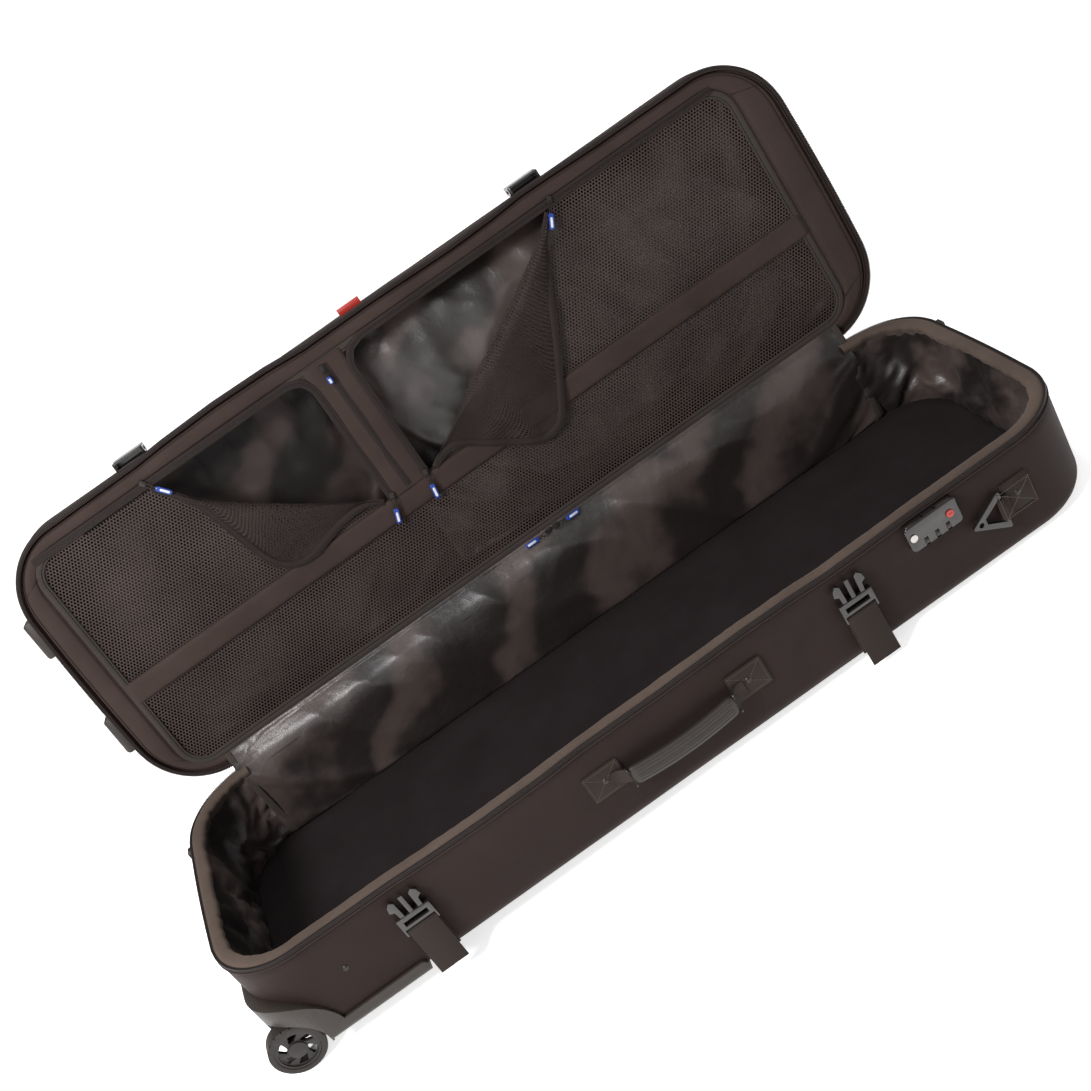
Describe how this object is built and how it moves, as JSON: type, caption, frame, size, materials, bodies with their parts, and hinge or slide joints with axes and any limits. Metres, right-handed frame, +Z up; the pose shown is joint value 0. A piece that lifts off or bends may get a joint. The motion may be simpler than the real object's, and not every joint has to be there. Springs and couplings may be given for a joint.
{
  "type": "snowboard bag",
  "caption": "Long wheeled snowboard bag with rigid sides, lying open: hinged lid with mesh pockets, padded compartment, carry handle, buckled straps and combination lock.",
  "frame": {"origin": "centre of the base's bottom face", "axes": "+X along the length, away from the wheels; -Y towards the front wall with the handle and lock; +Z up"},
  "size_m": [1.534, 0.7271, 0.7312],
  "materials": {
    "outer_fabric": "dark brown-black woven polyester",
    "lining": "satin lining",
    "floor_fabric": "brushed floor fabric",
    "facing_fabric": "grey-brown facing",
    "frame_fabric": "plain weave panel fabric",
    "mesh": "knitted mesh",
    "webbing": "ribbed webbing",
    "zip": "zip coil and tape",
    "moulded_plastic": "grained plastic",
    "board": "plain board",
    "tyre": "polyurethane tread",
    "steel": "zinc-plated steel",
    "dark_metal": "black enamel",
    "grip_rubber": "ribbed soft grip",
    "pull": "blue moulded cord pull",
    "red_mark": "red"
  },
  "bodies": {
    "base": {"base_shell": "outer_fabric", "bottom_board": "board", "floor_panel": "floor_fabric", "base_lining": "lining", "rim_facing": "facing_fabric", "base_zip_tape": "zip", "base_piping": "outer_fabric", "base_hinge_flap": "outer_fabric", "guard_rivets": "steel", "wall_rivets": "dark_metal", "wheel_guard_front": "moulded_plastic", "wheel_guard_rear": "moulded_plastic", "axles": "steel", "axle_nuts": "steel", "handle_patches": "webbing", "lock_case": "moulded_plastic", "ring_patch": "webbing", "front_straps": "webbing"},
    "lid": {"lid_shell": "outer_fabric", "lid_lining": "lining", "lid_frame": "frame_fabric", "lid_zip_tape": "zip", "lid_piping": "outer_fabric", "lid_hinge_flap": "outer_fabric", "divider_band": "frame_fabric", "centre_strip": "frame_fabric", "mesh_lower": "mesh", "mesh_left": "mesh", "mesh_right": "mesh", "pocket_zips": "zip", "buckle_socket_left": "moulded_plastic", "buckle_socket_right": "moulded_plastic", "lid_straps": "webbing", "stand_feet": "moulded_plastic", "side_tab": "red_mark"},
    "wheel_front": {"wheel_tyre_front": "tyre", "wheel_hub_front": "moulded_plastic", "wheel_bearings_front": "steel"},
    "wheel_rear": {"wheel_tyre_rear": "tyre", "wheel_hub_rear": "moulded_plastic", "wheel_bearings_rear": "steel"},
    "handle": {"handle_loops": "webbing", "handle_grip": "grip_rubber"},
    "ring": {"triangle_ring": "moulded_plastic"},
    "plug_left": {"buckle_plug_left": "moulded_plastic"},
    "plug_right": {"buckle_plug_right": "moulded_plastic"},
    "dial_left": {"lock_dial_left": "dark_metal"},
    "dial_middle": {"lock_dial_middle": "dark_metal"},
    "dial_right": {"lock_dial_right": "dark_metal"},
    "button": {"lock_button": "steel"},
    "key": {"key_cylinder": "red_mark"},
    "main_slider_left": {"slider_main_left": "dark_metal"},
    "main_slider_right": {"slider_main_right": "dark_metal"},
    "pocket_left_top_slider": {"slider_pocket_left_top": "pull"},
    "pocket_left_side_slider": {"slider_pocket_left_side": "pull"},
    "pocket_right_side_slider": {"slider_pocket_right_side": "pull"},
    "pocket_right_top_slider": {"slider_pocket_right_top": "pull"},
    "centre_slider": {"slider_centre": "pull"},
    "hinge_left_slider": {"slider_hinge_left": "pull"},
    "hinge_right_slider": {"slider_hinge_right": "pull"}
  },
  "joints": [
    {"name": "lid_hinge", "type": "hinge", "parent": "base", "child": "lid", "pos_m": [0, 0.2595, 0.178], "axis": [-1, 0, 0], "range_deg": [-102, 78]},
    {"name": "wheel_front_spin", "type": "hinge", "parent": "base", "child": "wheel_front", "pos_m": [-0.7294, -0.2295, 0.01], "axis": [0, 1, 0], "continuous": true},
    {"name": "wheel_rear_spin", "type": "hinge", "parent": "base", "child": "wheel_rear", "pos_m": [-0.7294, 0.2295, 0.01], "axis": [0, 1, 0], "continuous": true},
    {"name": "handle_swing", "type": "hinge", "parent": "base", "child": "handle", "pos_m": [0, -0.262, 0.1], "axis": [-1, 0, 0], "range_deg": [0, 65]},
    {"name": "ring_swing", "type": "hinge", "parent": "base", "child": "ring", "pos_m": [0.574, -0.2641, 0.09], "axis": [0, 0, 1], "range_deg": [0, 150]},
    {"name": "buckle_plug_left_swing", "type": "hinge", "parent": "base", "child": "plug_left", "pos_m": [-0.461, -0.266, 0.09], "axis": [1, 0, 0], "range_deg": [0, 90]},
    {"name": "buckle_plug_right_swing", "type": "hinge", "parent": "base", "child": "plug_right", "pos_m": [0.3185, -0.266, 0.09], "axis": [1, 0, 0], "range_deg": [0, 90]},
    {"name": "lock_dial_left_turn", "type": "hinge", "parent": "base", "child": "dial_left", "pos_m": [0.4515, -0.2645, 0.127], "axis": [1, 0, 0], "continuous": true},
    {"name": "lock_dial_middle_turn", "type": "hinge", "parent": "base", "child": "dial_middle", "pos_m": [0.4705, -0.2645, 0.127], "axis": [1, 0, 0], "continuous": true},
    {"name": "lock_dial_right_turn", "type": "hinge", "parent": "base", "child": "dial_right", "pos_m": [0.4895, -0.2645, 0.127], "axis": [1, 0, 0], "continuous": true},
    {"name": "lock_button_press", "type": "slide", "parent": "base", "child": "button", "axis": [0, 1, 0], "range_m": [0, 0.0022], "stiffness_N_per_m": 600},
    {"name": "key_cylinder_turn", "type": "hinge", "parent": "base", "child": "key", "pos_m": [0.4985, -0.2707, 0.144], "axis": [0, 1, 0], "range_deg": [0, 90]},
    {"name": "slider_pocket_left_top_run", "type": "slide", "parent": "lid", "child": "pocket_left_top_slider", "axis": [1, 0, 0], "range_m": [0, 0.28]},
    {"name": "slider_pocket_left_side_run", "type": "slide", "parent": "lid", "child": "pocket_left_side_slider", "axis": [0, 0.2079, 0.9781], "range_m": [0, 0.22]},
    {"name": "slider_pocket_right_side_run", "type": "slide", "parent": "lid", "child": "pocket_right_side_slider", "axis": [0, 0.2079, 0.9781], "range_m": [0, 0.22]},
    {"name": "slider_pocket_right_top_run", "type": "slide", "parent": "lid", "child": "pocket_right_top_slider", "axis": [-1, 0, 0], "range_m": [0, 0.38]},
    {"name": "slider_centre_run", "type": "slide", "parent": "lid", "child": "centre_slider", "axis": [0, -0.2079, -0.9781], "range_m": [0, 0.2]},
    {"name": "slider_hinge_left_run", "type": "slide", "parent": "lid", "child": "hinge_left_slider", "axis": [-1, 0, 0], "range_m": [0, 0.55]},
    {"name": "slider_hinge_right_run", "type": "slide", "parent": "lid", "child": "hinge_right_slider", "axis": [1, 0, 0], "range_m": [0, 0.55]},
    {"name": "slider_main_left_run", "type": "slide", "parent": "base", "child": "main_slider_left", "axis": [0, -1, 0], "range_m": [0, 0.25]},
    {"name": "slider_main_right_run", "type": "slide", "parent": "base", "child": "main_slider_right", "axis": [0, -1, 0], "range_m": [0, 0.25]}
  ]
}
